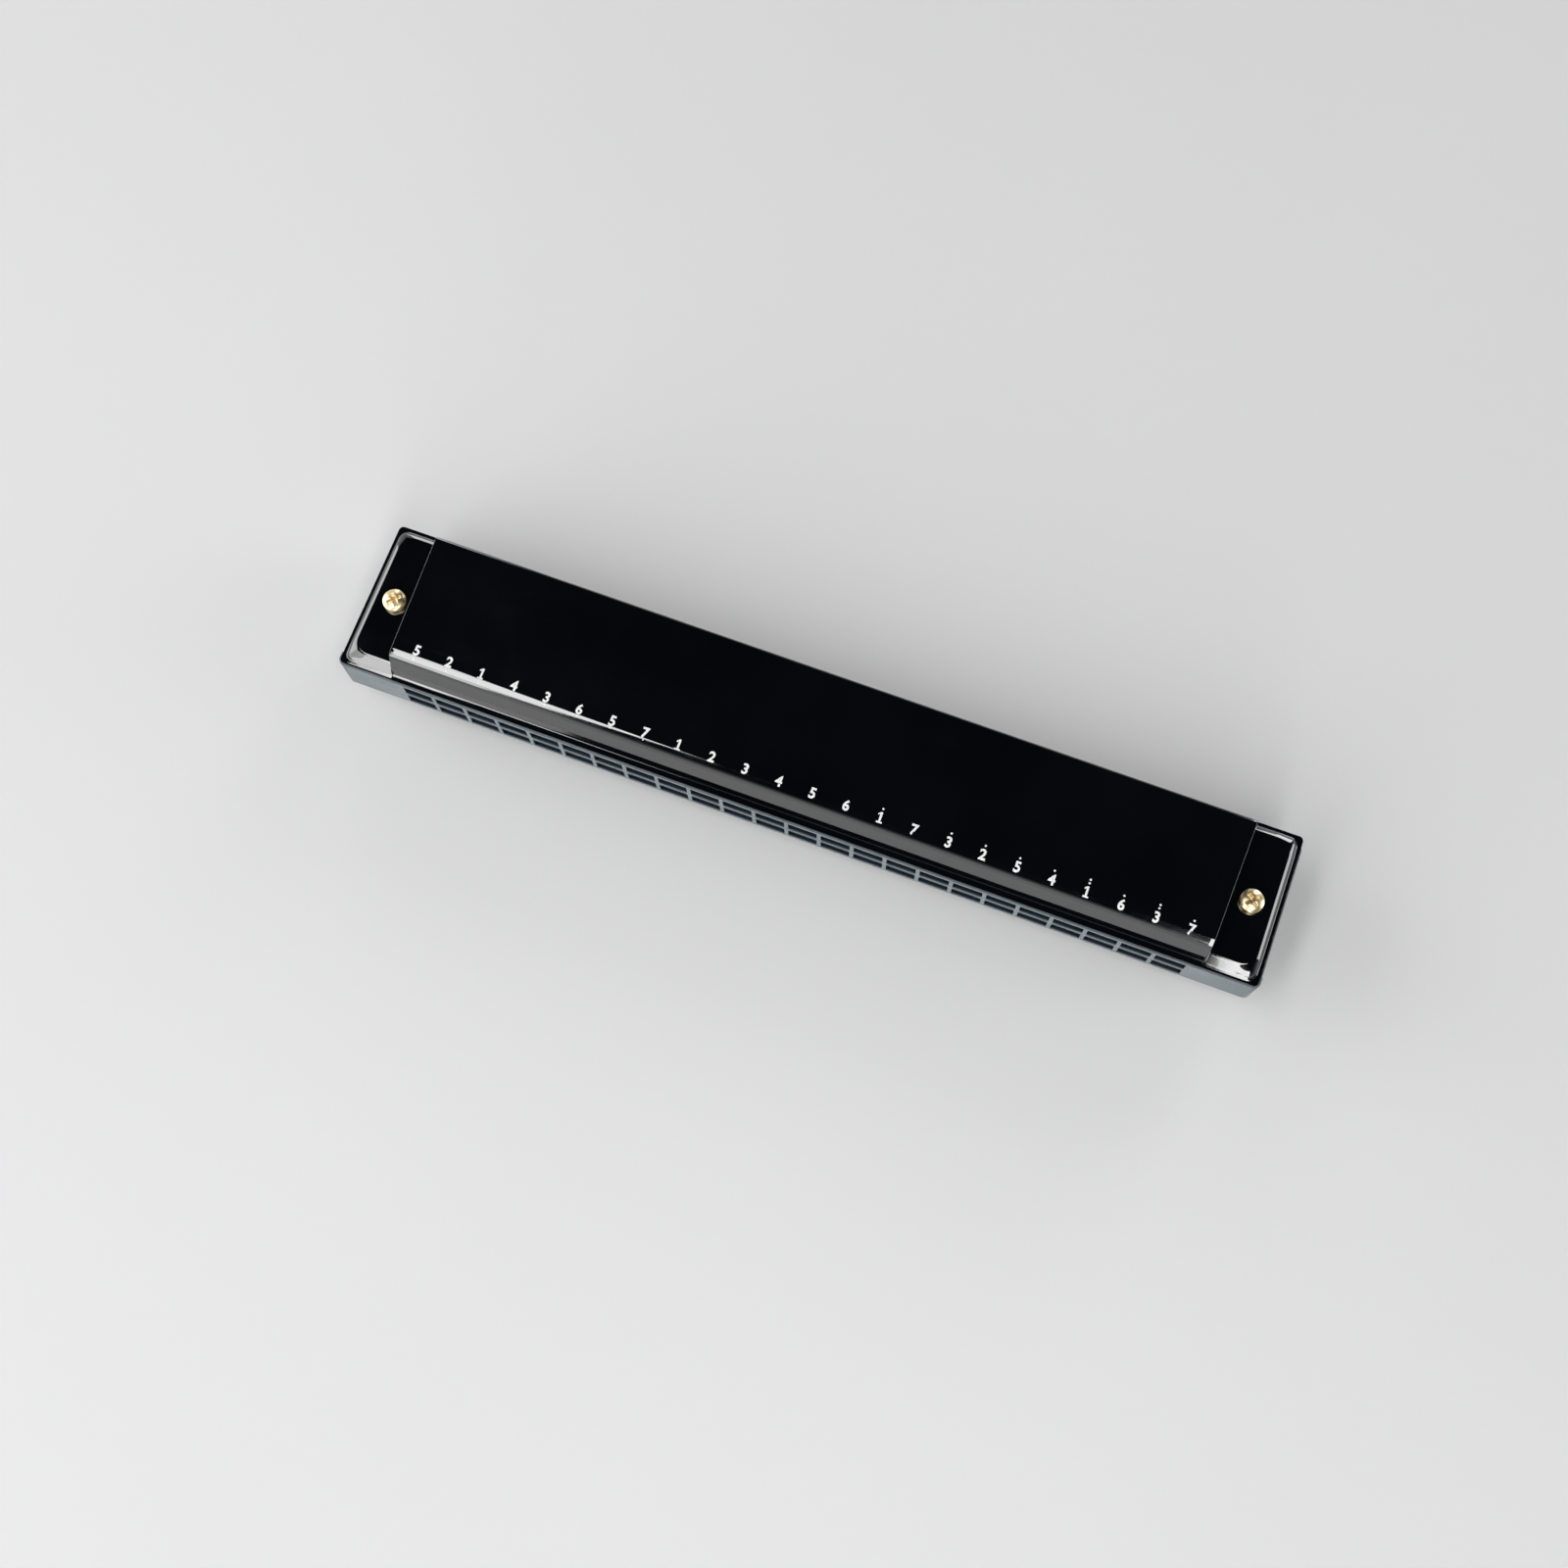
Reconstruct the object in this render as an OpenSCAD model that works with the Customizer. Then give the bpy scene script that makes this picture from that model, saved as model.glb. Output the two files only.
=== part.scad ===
// Tremolo harmonica: a plastic comb with a double row of holes, a brass reed plate on each
// side of it, one reed over each chamber, and two pressed covers held by two long screws.
// +X runs from the low notes to the high notes, the player is at -Y and +Z is up.
// The origin is the middle of the face that the harmonica rests on.

/* [Holes] */
// Number of hole columns, each with an upper and a lower hole
columns = 24; // [8:2:24]
// Distance from one column to the next
hole_pitch = 6.35; // [5.2:0.05:8]
// Height of each hole and of the chamber behind it
hole_h = 3.3; // [2.6:0.1:4]
// How far each hole widens on each side at the mouth
mouth_flare = 0.2; // [0:0.05:0.4]
// How deep the widened mouth of a hole is
mouth_flare_l = 1.2; // [0.4:0.1:2]

/* [Comb] */
// Thickness of the ribs between chambers
rib_t = 1.15; // [1.05:0.05:1.6]
// Thickness of the wall between the upper and lower chambers
mid_wall_t = 1.2; // [0.8:0.1:2]
// Depth of the rail in front of the reed plates
front_rail_t = 2.4; // [2:0.1:4]
// Depth of the rail behind the chambers
rear_rail_t = 2.8; // [2.2:0.1:4]
// Solid length of the comb beyond its last chamber
end_block_l = 13.4; // [12.8:0.1:20]
// Radius of the comb's corners, seen from above
comb_corner_r = 1.3; // [0.5:0.1:2.2]
// How far the comb's mouth face stands in front of the covers
comb_proud = 0.3; // [0.1:0.1:1]
// How far the comb's ends stand out past the covers
end_proud = 0.4; // [0.1:0.1:0.8]

/* [Reed plates] */
// Thickness of each reed plate
plate_t = 0.8; // [0.6:0.05:1.2]
// Gap between a reed plate and the comb's front rail
plate_gap = 0.1; // [0.05:0.05:0.3]
// How far a reed plate stays inside the comb at the back and the ends
plate_inset = 0.6; // [0.2:0.1:1]

/* [Reeds] */
// Free length of the lowest reed
reed_low_l = 17.5; // [14:0.1:21]
// Free length of the highest reed
reed_high_l = 9.5; // [7:0.1:12]
// Width of a reed where it bends
reed_root_w = 2.3; // [1.8:0.05:2.6]
// Width of a reed at its free tip
reed_tip_w = 1.9; // [1.4:0.05:2.2]
// Thickness of a reed
reed_t = 0.25; // [0.15:0.01:0.3]
// Height of a reed above its plate
reed_set = 0.15; // [0.1:0.01:0.2]
// Gap around a reed in its slot
slot_clear = 0.08; // [0.05:0.01:0.12]
// Length of the riveted foot of a reed
foot_l = 3.4; // [2.6:0.1:4.2]
// Width of the riveted foot of a reed
foot_w = 3; // [2.6:0.1:3.4]
// Thickness of the riveted foot of a reed
foot_t = 0.5; // [0.42:0.01:0.6]
// Gap between a foot and the reed that bends next to it
foot_gap = 0.03; // [0.02:0.01:0.06]
// Room in front of and behind the longest reed with its foot
reed_end_gap = 1.1; // [0.6:0.1:2]
// Diameter of the rivets
rivet_d = 1.2; // [0.8:0.1:1.4]
// Diameter of the rivet heads
rivet_head_d = 1.9; // [1.6:0.1:2.4]
// Height of the rivet heads
rivet_head_h = 0.35; // [0.2:0.05:0.45]

/* [Plate pins] */
// Diameter of the pins that hold the reed plates
pin_d = 0.8; // [0.5:0.05:0.9]
// Diameter of the pin heads
pin_head_d = 1.6; // [1.2:0.1:2]
// Height of the pin heads
pin_head_h = 0.4; // [0.2:0.05:0.6]
// Depth of the pins in the comb
pin_depth = 2.8; // [2:0.1:3.2]
// Number of ribs from one pin to the next
pin_step = 4; // [2:1:6]
// Distance from the pins to the plate's front edge and to the back of the chambers
pin_edge = 1.1; // [0.9:0.1:1.3]

/* [Covers] */
// Height of each cover over its reed plate
cover_h = 7.2; // [6.8:0.1:9]
// Thickness of the cover sheet
sheet_t = 0.5; // [0.3:0.05:0.7]
// How far the covers overhang the back of the comb
rear_overhang = 1; // [0.2:0.1:2]
// Width of the flat lip along the front of a cover
lip_w = 1; // [0.8:0.1:2]
// Radius of the long front shoulder
shoulder_r = 1.9; // [1:0.1:3.4]
// Lean of the long front wall, in degrees
front_lean = 13; // [5:1:20]
// Radius of the rolled back edge
roll_r = 1.2; // [0.8:0.1:1.5]
// Height of the rolled back edge
roll_drop = 1.6; // [1.3:0.1:2]
// How far the raised top stays in front of the back of the pads
dome_setback = 1.8; // [1:0.1:3]
// Radius along the top of the raised middle's ends
dome_end_r = 0.8; // [0.6:0.1:2]
// Lean of the raised middle's ends, in degrees
dome_end_lean = 3; // [2:1:15]
// Angle by which the raised middle gets longer towards the back, at each end
dome_end_turn = 2; // [0:0.5:3]
// Length of the low pad at each end of a cover, at the front
pad_l = 10; // [9.5:0.1:11]
// Height of the pads
pad_h = 2.4; // [2:0.1:4.2]
// Width of the flat rim around the pads
pad_rim = 1; // [0.6:0.1:1.6]
// Radius along the top of the pads
pad_r = 0.8; // [0.6:0.1:2]
// Lean of the pads' sides, in degrees
pad_lean = 30; // [5:1:30]
// Radius of the pads' corners, seen from above
pad_corner_r = 2.6; // [1:0.1:3.4]
// Radius of the covers' corners, seen from above
cover_corner_r = 0.9; // [0.4:0.1:2]
// Length of back wall left at each end of the sound opening
opening_end_l = 4; // [2:0.5:8]

/* [Cover screws] */
// Diameter of the two cover screws
screw_d = 2.5; // [2:0.1:3]
// Distance from a cover's end to the middle of its screw
screw_end = 5.8; // [5.2:0.1:6.4]
// Distance from the middle of the depth to the screws, towards the player
screw_forward = 0.5; // [0:0.1:3]
// Diameter of the screw heads
screw_head_d = 4.4; // [4:0.1:4.8]
// Height of the screw heads
screw_head_h = 1.7; // [1.2:0.1:2]
// Size of the cross recess in the screw heads
recess_w = 2.6; // [2:0.1:3]
// Width of the cross recess's slots
recess_slot = 0.6; // [0.4:0.05:0.8]
// Depth of the cross recess
recess_h = 1; // [0.5:0.1:1.2]
// Gap around the screws in the covers, plates and comb
screw_clear = 0.1; // [0.05:0.05:0.3]
// Size of the nuts across their flats
nut_af = 4.5; // [4:0.1:5.5]
// Height of the nuts
nut_h = 2; // [1.4:0.1:2.2]
// How far the screws stand out of their nuts
screw_out = 0.4; // [0.2:0.1:0.8]

/* [Hidden] */
// Gap around a rivet, pin or thread that is pressed or screwed in
press_clear = 0.01;
// How far a cutting shape runs past what it cuts
past = 1;
// Flat steps in each rounded edge of a cover
arc_steps = 8;

core_h = 2 * (hole_h + plate_t) + mid_wall_t;
mid_z = cover_h + core_h / 2;
inner_face = core_h / 2 - plate_t;
outer_face = core_h / 2;

chamber_w = hole_pitch - rib_t;
reed_space = reed_low_l + foot_l + 2 * reed_end_gap;
comb_l = columns * hole_pitch - rib_t + 2 * end_block_l;
comb_d = front_rail_t + reed_space + rear_rail_t;
total_d = comb_d + rear_overhang;
front_y = -total_d / 2;
comb_rear_y = front_y + comb_d;
chamber_front_y = front_y + front_rail_t;
chamber_rear_y = chamber_front_y + reed_space;

plate_l = comb_l - 2 * plate_inset;
plate_front_y = chamber_front_y + plate_gap;
plate_rear_y = comb_rear_y - plate_inset;

cover_l = comb_l - 2 * end_proud;
cover_front_y = front_y + comb_proud;
cover_rear_y = comb_rear_y + rear_overhang;
dome_half_l = cover_l / 2 - pad_l;
screw_x = cover_l / 2 - screw_end;
screw_y = -screw_forward;

SIDES = ["upper", "lower"];
function column_name(i) = str(i < 9 ? "0" : "", i + 1);
function reed_name(side, i) = str(side, "_reed_", column_name(i));

function column_x(i) = (i - (columns - 1) / 2) * hole_pitch;
function rib_x(k) = (k - columns / 2) * hole_pitch;

// Reeds get shorter towards the high notes
function reed_l(i) = reed_low_l - (reed_low_l - reed_high_l) * i / (columns - 1);

// Blow reeds lie inside the chambers and are riveted near the mouth; draw reeds lie outside
// and are riveted near the back
function is_blow(i) = i % 2 == 0;
function root_y(i) = is_blow(i)
    ? chamber_front_y + reed_end_gap + foot_l
    : chamber_rear_y - reed_end_gap - foot_l;

// Everything made for the upper half stands on the middle plane; the lower half is its mirror
module in_half(side) {
    translate([0, 0, mid_z])
        if (side == "lower")
            mirror([0, 0, 1]) children();
        else
            children();
}

// A frame at column i's bending line, on the face of the plate that carries the reed: the
// free tip points along +Y and +Z leaves the plate
module at_reed(i) {
    translate([column_x(i), root_y(i), is_blow(i) ? inner_face : outer_face])
        if (is_blow(i))
            mirror([0, 0, 1]) children();
        else
            mirror([0, 1, 0]) children();
}

module at_cover_screws() {
    for (s = [-1, 1])
        translate([s * screw_x, screw_y, 0]) children();
}

// One pin in the front and one in the back on every pin_step-th rib, and on the first and last
module at_pins() {
    for (k = [1 : columns - 1])
        if (k == 1 || k == columns - 1 || k % pin_step == 0)
            for (y = [plate_front_y + pin_edge, chamber_rear_y + pin_edge])
                translate([rib_x(k), y, 0]) children();
}

module rounded_block(x_size, y_size, h, r) {
    translate([-x_size / 2 + r, -y_size / 2, 0]) cube([x_size - 2 * r, y_size, h]);
    translate([-x_size / 2, -y_size / 2 + r, 0]) cube([x_size, y_size - 2 * r, h]);
    for (sx = [-1, 1])
        for (sy = [-1, 1])
            translate([sx * (x_size / 2 - r), sy * (y_size / 2 - r), 0])
                cylinder(r = r, h = h, $fn = 48);
}

// ---- Comb ----

module comb_body() {
    body_h = 2 * inner_face;
    intersection() {
        translate([0, front_y + comb_d / 2, -core_h / 2])
            rounded_block(comb_l, comb_d, core_h, comb_corner_r);
        union() {
            translate([-comb_l / 2, front_y, -body_h / 2])
                cube([comb_l, comb_d, body_h]);
            translate([-comb_l / 2, front_y, -core_h / 2])
                cube([comb_l, front_rail_t, core_h]);
        }
    }
}

module chamber() {
    mouth_w = chamber_w + 2 * mouth_flare;
    translate([-chamber_w / 2, front_y - past, mid_wall_t / 2])
        cube([chamber_w, past + front_rail_t + reed_space, hole_h]);
    translate([-chamber_w / 2, chamber_front_y, mid_wall_t / 2])
        cube([chamber_w, reed_space, hole_h + past]);
    translate([-mouth_w / 2, front_y - past, mid_wall_t / 2])
        cube([mouth_w, past + mouth_flare_l, hole_h]);
}

module comb() {
    color([0.22, 0.27, 0.3])
        translate([0, 0, mid_z])
            difference() {
                comb_body();
                for (i = [0 : columns - 1])
                    translate([column_x(i), 0, 0]) {
                        chamber();
                        mirror([0, 0, 1]) chamber();
                    }
                for (turn = [0, 1])
                    mirror([0, 0, turn])
                        at_pins()
                            translate([0, 0, inner_face - pin_depth])
                                cylinder(d = pin_d + 2 * press_clear, h = pin_depth + past, $fn = 24);
                at_cover_screws()
                    cylinder(d = screw_d + 2 * screw_clear, h = core_h + past, center = true, $fn = 32);
            }
}

// ---- Reed plates ----

module reed_slot(i) {
    tip_y = reed_l(i) + slot_clear;
    root_half = reed_root_w / 2 + slot_clear;
    tip_half = reed_tip_w / 2 + slot_clear;
    root_end = -reed_t / 2;
    translate([0, 0, -plate_t - past])
        linear_extrude(plate_t + 2 * past)
            polygon([[-root_half, root_end], [root_half, root_end],
                     [root_half, 0], [tip_half, tip_y], [-tip_half, tip_y], [-root_half, 0]]);
}

module rivet_hole() {
    translate([0, -reed_t / 2 - foot_gap - foot_l / 2, 0])
        cylinder(d = rivet_d + 2 * press_clear, h = 2 * (plate_t + past), center = true, $fn = 32);
}

module reed_plate(side) {
    color([0.78, 0.62, 0.32])
        in_half(side)
            difference() {
                translate([-plate_l / 2, plate_front_y, inner_face])
                    cube([plate_l, plate_rear_y - plate_front_y, plate_t]);
                for (i = [0 : columns - 1])
                    at_reed(i) {
                        reed_slot(i);
                        rivet_hole();
                    }
                at_pins()
                    cylinder(d = pin_d + 2 * press_clear, h = core_h, $fn = 24);
                at_cover_screws()
                    cylinder(d = screw_d + 2 * screw_clear, h = core_h, $fn = 32);
            }
}

// ---- Reeds, their feet and rivets ----

// The part of a reed that swings, with its rounded bending line along X
module reed(side, i) {
    color([0.85, 0.68, 0.36])
        in_half(side)
            at_reed(i)
                translate([0, 0, reed_set + reed_t / 2]) {
                    linear_extrude(reed_t, center = true)
                        polygon([[-reed_root_w / 2, 0], [reed_root_w / 2, 0],
                                 [reed_tip_w / 2, reed_l(i)], [-reed_tip_w / 2, reed_l(i)]]);
                    rotate([0, 90, 0])
                        cylinder(d = reed_t, h = reed_root_w, center = true, $fn = 24);
                }
}

module reed_feet(side) {
    color([0.8, 0.63, 0.33])
        in_half(side)
            for (i = [0 : columns - 1])
                at_reed(i)
                    difference() {
                        translate([-foot_w / 2, -reed_t / 2 - foot_gap - foot_l, 0])
                            cube([foot_w, foot_l, foot_t]);
                        rivet_hole();
                    }
}

module rivets(side) {
    color([0.88, 0.74, 0.42])
        in_half(side)
            for (i = [0 : columns - 1])
                at_reed(i)
                    translate([0, -reed_t / 2 - foot_gap - foot_l / 2, 0]) {
                        translate([0, 0, -plate_t - rivet_head_h])
                            cylinder(d = rivet_head_d, h = rivet_head_h, $fn = 32);
                        translate([0, 0, -plate_t])
                            cylinder(d = rivet_d, h = plate_t + foot_t, $fn = 32);
                        translate([0, 0, foot_t])
                            cylinder(d = rivet_head_d, h = rivet_head_h, $fn = 32);
                    }
}

module plate_pins() {
    color([0.86, 0.72, 0.4])
        for (side = SIDES)
            in_half(side)
                at_pins() {
                    translate([0, 0, inner_face - pin_depth])
                        cylinder(d = pin_d, h = pin_depth + plate_t, $fn = 24);
                    translate([0, 0, outer_face])
                        cylinder(d = pin_head_d, h = pin_head_h, $fn = 32);
                }
}

// ---- Covers ----

// Distance from a leaning wall's foot to where the flat top starts
function top_start(h, r, lean) = r * cos(lean) + (h - r + r * sin(lean)) * tan(lean);

function arc(x, z, r, from, to) =
    [for (k = [0 : arc_steps])
        let (a = from + (to - from) * k / arc_steps)
        [x + r * cos(a), z + r * sin(a)]];

// Outline of a pressed shape from one foot to the other: leaning walls, rounded shoulders and
// a flat top. r and lean each give the first and the second side; inset shrinks it all round,
// and below takes its walls under the seat.
function pressed(from, to, h, r, lean, inset, below) =
    let (
        c0 = from + top_start(h, r[0], lean[0]),
        c1 = to - top_start(h, r[1], lean[1]),
        r0 = r[0] - inset,
        r1 = r[1] - inset,
        z0 = h - r[0],
        z1 = h - r[1],
        foot0 = c0 - r0 * cos(lean[0]) - (z0 + r0 * sin(lean[0]) + below) * tan(lean[0]),
        foot1 = c1 + r1 * cos(lean[1]) + (z1 + r1 * sin(lean[1]) + below) * tan(lean[1])
    )
    concat(
        [[foot0, -below]],
        arc(c0, z0, r0, 180 - lean[0], 90),
        arc(c1, z1, r1, 90, lean[1]),
        [[foot1, -below]]
    );

// A Y-Z outline drawn out along X, and an X-Z outline drawn out along Y
module along_x(l) {
    rotate([90, 0, 90]) linear_extrude(l, center = true) children();
}

module along_y(l) {
    rotate([90, 0, 0]) linear_extrude(l, center = true) children();
}

// Everything on the inner side of the raised middle's +X end
module dome_end(inset, below) {
    translate([dome_half_l, cover_front_y, 0])
        rotate([0, 0, -dome_end_turn])
            along_y(4 * total_d)
                polygon(pressed(-3 * dome_half_l, 0, cover_h, [dome_end_r, dome_end_r],
                                [dome_end_lean, dome_end_lean], inset, below));
}

module dome(inset, below) {
    intersection() {
        along_x(cover_l)
            polygon(pressed(cover_front_y + lip_w, cover_rear_y - dome_setback, cover_h,
                            [shoulder_r, roll_r], [front_lean, 0], inset, below));
        dome_end(inset, below);
        mirror([1, 0, 0]) dome_end(inset, below);
    }
}

// Both pads are the ends of one low shape that runs the whole length under the raised middle
module pads(inset, below) {
    pad_d = cover_rear_y - cover_front_y - lip_w - pad_rim;
    intersection() {
        along_x(cover_l)
            polygon(pressed(cover_front_y + lip_w, cover_rear_y - pad_rim, pad_h,
                            [pad_r, pad_r], [pad_lean, pad_lean], inset, below));
        along_y(2 * total_d)
            polygon(pressed(-cover_l / 2 + pad_rim, cover_l / 2 - pad_rim, pad_h,
                            [pad_r, pad_r], [pad_lean, pad_lean], inset, below));
        translate([0, cover_front_y + lip_w + pad_d / 2, -below])
            rounded_block(cover_l - 2 * pad_rim - 2 * inset, pad_d - 2 * inset,
                          pad_h + below, pad_corner_r - inset);
        for (s = [-1, 1])
            translate([s * cover_l / 2, 0, 0])
                cube([2 * (pad_l + past), 2 * total_d, 3 * cover_h], center = true);
    }
}

module cover(side) {
    opening_l = 2 * (dome_half_l - opening_end_l);
    cover_d = cover_rear_y - cover_front_y;
    color([0.05, 0.05, 0.06])
        in_half(side)
            translate([0, 0, outer_face])
                difference() {
                    union() {
                        translate([0, cover_front_y + cover_d / 2, 0])
                            rounded_block(cover_l, cover_d, sheet_t, cover_corner_r);
                        dome(0, 0);
                        pads(0, 0);
                    }
                    dome(sheet_t, past);
                    pads(sheet_t, past);
                    translate([-opening_l / 2, cover_rear_y - dome_setback - sheet_t - past, -past])
                        cube([opening_l, dome_setback + sheet_t + 2 * past,
                              past + cover_h - roll_drop]);
                    at_cover_screws()
                        cylinder(d = screw_d + 2 * screw_clear, h = 3 * pad_h, center = true, $fn = 32);
                }
}

// ---- Cover screws and nuts ----

module screw_head() {
    crown_h = 0.35 * screw_head_h;
    rim_h = screw_head_h - crown_h;
    crown_r = (pow(screw_head_d / 2, 2) + pow(crown_h, 2)) / (2 * crown_h);
    difference() {
        intersection() {
            cylinder(d = screw_head_d, h = screw_head_h, $fn = 64);
            translate([0, 0, screw_head_h - crown_r]) sphere(r = crown_r, $fn = 128);
        }
        for (a = [45, 135])
            rotate([0, 0, a])
                translate([-recess_w / 2, -recess_slot / 2, screw_head_h - recess_h])
                    cube([recess_w, recess_slot, recess_h + past]);
    }
}

module cover_screws() {
    pad_top = outer_face + pad_h;
    color([0.82, 0.7, 0.45])
        translate([0, 0, mid_z])
            at_cover_screws() {
                translate([0, 0, pad_top]) screw_head();
                translate([0, 0, -pad_top - nut_h - screw_out])
                    cylinder(d = screw_d, h = 2 * pad_top + nut_h + screw_out, $fn = 32);
            }
}

module cover_nuts() {
    color([0.8, 0.68, 0.42])
        translate([0, 0, mid_z - outer_face - pad_h - nut_h])
            at_cover_screws()
                difference() {
                    cylinder(d = nut_af / cos(30), h = nut_h, $fn = 6);
                    translate([0, 0, -past])
                        cylinder(d = screw_d + 2 * press_clear, h = nut_h + 2 * past, $fn = 32);
                }
}

comb();
reed_plate("upper");  // upper_reed_plate
reed_plate("lower");  // lower_reed_plate
cover("upper");  // upper_cover
cover("lower");  // lower_cover
reed_feet("upper");  // upper_reed_feet
reed_feet("lower");  // lower_reed_feet
rivets("upper");  // upper_rivets
rivets("lower");  // lower_rivets
plate_pins();
cover_screws();
cover_nuts();
for (side = SIDES)
    for (i = [0 : columns - 1])
        reed(side, i);
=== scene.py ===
"""Looks of a 24-column tremolo harmonica: pressed gloss-black covers, printed note numbers,
moulded comb and worked brass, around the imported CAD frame. The object's sizes are in
millimetres until a mesh is made; the floor, lamps and camera are placed in metres."""
import math

import bmesh
import bpy
import numpy as np
from mathutils import Matrix, Vector


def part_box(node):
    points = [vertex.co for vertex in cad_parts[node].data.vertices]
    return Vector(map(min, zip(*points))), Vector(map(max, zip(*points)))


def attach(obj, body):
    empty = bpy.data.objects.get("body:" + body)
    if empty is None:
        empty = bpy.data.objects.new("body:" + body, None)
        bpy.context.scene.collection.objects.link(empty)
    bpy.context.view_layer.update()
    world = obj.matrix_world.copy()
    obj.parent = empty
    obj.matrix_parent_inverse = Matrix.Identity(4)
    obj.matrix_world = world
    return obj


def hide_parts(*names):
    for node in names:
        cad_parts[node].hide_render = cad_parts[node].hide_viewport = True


MM = 0.001
BODY = "harmonica_body"

# Pressed covers: sheet, front lip, front shoulder, rolled rear edge, ends and low pads
SHEET = 0.5
LIP = 1.0
FRONT_LEAN, SHOULDER_R = 13.0, 1.9
ROLL_R, ROLL_DROP, DOME_SETBACK = 0.7, 1.6, 1.8
FOOT_R, FOOT_STEPS = 0.18, 6
END_LEAN, END_R, END_TURN = 3.0, 0.08, 2.0
PAD_LENGTH, PAD_HEIGHT, PAD_RIM = 10.0, 2.4, 1.0
PAD_LEAN, PAD_R, PAD_FORWARD = 42.0, 0.7, 0.4
PAD_SIDE_WIDTH, PAD_REAR_WIDTH, PAD_SIDE_LEAN, PAD_SIDE_R = 1.45, 1.75, 10.0, 1.5
PAD_FOOT_CORNER, PAD_TOP_CORNER = 1.2, 2.4
PAD_INNER_CORNER, PAD_INNER_REAR_CORNER = 0.6, 0.01
COVER_CORNER = 0.9
OPENING_END = 4.0
UNDER_DOME = 0.35
EDGE_ROUND, EDGE_ANGLE = 0.09, 55

# Spacing of the covers' grid lines, and how far in from an edge the fine ones reach
FINE_STEP, COARSE_STEP, SLOPE_STEP = 0.2, 0.4, 0.1
FINE_FRONT, FINE_REAR, FINE_INNER, FINE_SIDE = 6.15, 5.45, 6.2, 4.4
FRINGE = 0.25

# Where the turn of the raised middle's ends sets in before their edge, and fades out across the pad
TURN_SETS_IN, TURN_FADE_START, TURN_FADE_END = 0.3, 8.1, 3.6

# The comb's cells: half the length they take, their pitch and width, and the rail between the rows: its
# height and its share of painted shade
CELLS_HALF, CELL_PITCH, CELL_WIDTH = 76.0, 6.35, 5.2
RAIL_HEIGHT, RAIL_SHADE = 1.2, 0.6

# Painted shade in the cells, where shade falls in the recesses: where it sets in and is full behind the
# mouth, its margin above the chambers and its end before the reed plate's rear edge
SHADE_START, SHADE_FULL, SHADE_MARGIN, SHADE_END = 0.02, 0.25, 0.1, 2.0

# Printed numbers, one over each hole column, with dots above the high octaves
NUMBERS = "521436571234561732541637"
DOTS = {14: 1, 16: 1, 17: 1, 18: 1, 19: 1, 20: 2, 21: 1, 22: 2, 23: 1}
LOW_DOTS = {0: 2, 1: 2, 2: 2, 3: 2, 4: 2, 5: 1, 6: 1, 7: 1}
DOT_R, LOW_DOT_R = 0.2, 0.11
NUMBER_PITCH, NUMBER_X = 6.42, 0.15
NUMBER_Y, NUMBER_SLOPE = -9.7, -0.0068
NUMBER_HEIGHT, NUMBER_WIDTH = 2.05, 0.95
DOT_GAP, DOT_STEP, LOW_DOT_GAP, LOW_DOT_STEP = 0.62, 0.65, 0.34, 0.4
PRINT_THICK = 0.03
GLYPH_BOLDNESS, LONGEST_EDGE = 0.03, 0.5


# ---- Outlines ----

def wall(height, lean, top_r, foot_r, straight_steps=14, arc_steps=16):
    """A pressed wall from its foot fillet to its flat top, as distances in from the foot and heights.
    arc_steps is how many points the upper arc has."""
    turn = math.radians(90 - lean)
    rise = 1 - math.cos(turn)
    straight = (height - (top_r + foot_r) * rise) / math.sin(turn)
    t = np.linspace(0, turn, FOOT_STEPS)
    d = list(foot_r * np.sin(t))
    z = list(foot_r * (1 - np.cos(t)))
    for k in range(1, straight_steps):
        s = straight * k / straight_steps
        d.append(foot_r * math.sin(turn) + s * math.cos(turn))
        z.append(foot_r * rise + s * math.sin(turn))
    t = np.linspace(0, turn, arc_steps)
    d0 = foot_r * math.sin(turn) + straight * math.cos(turn)
    z0 = foot_r * rise + straight * math.sin(turn)
    d.extend(d0 + top_r * (math.sin(turn) - np.sin(turn - t)))
    z.extend(z0 + top_r * (np.cos(turn - t) - math.cos(turn)))
    return np.array(d), np.array(z)


def top_start(height, r, lean):
    """Distance from a leaning wall's foot to its flat top, as the CAD draws it."""
    a = math.radians(lean)
    return r * math.cos(a) + (height - r + r * math.sin(a)) * math.tan(a)


def inside_distance(x, y, x0, x1, y0, y1, corners):
    """How far a point lies inside a rectangle with rounded corners. corners gives the radius at
    (x0, y0), (x1, y0), (x0, y1) and (x1, y1); outside, the result is negative."""
    cx, cy = (x0 + x1) / 2, (y0 + y1) / 2
    right, back = x > cx, y > cy
    r = np.where(back, np.where(right, corners[3], corners[2]), np.where(right, corners[1], corners[0]))
    qx = np.abs(x - cx) - (x1 - x0) / 2 + r
    qy = np.abs(y - cy) - (y1 - y0) / 2 + r
    outside = np.hypot(np.maximum(qx, 0), np.maximum(qy, 0))
    return r - outside - np.minimum(np.maximum(qx, qy), 0)


def fade(x, x0, x1):
    """0 up to x0 and 1 from x1 on, with a smooth step between them."""
    t = np.clip((x - x0) / (x1 - x0), 0, 1)
    return t * t * (3 - 2 * t)


# ---- Covers ----

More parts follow.
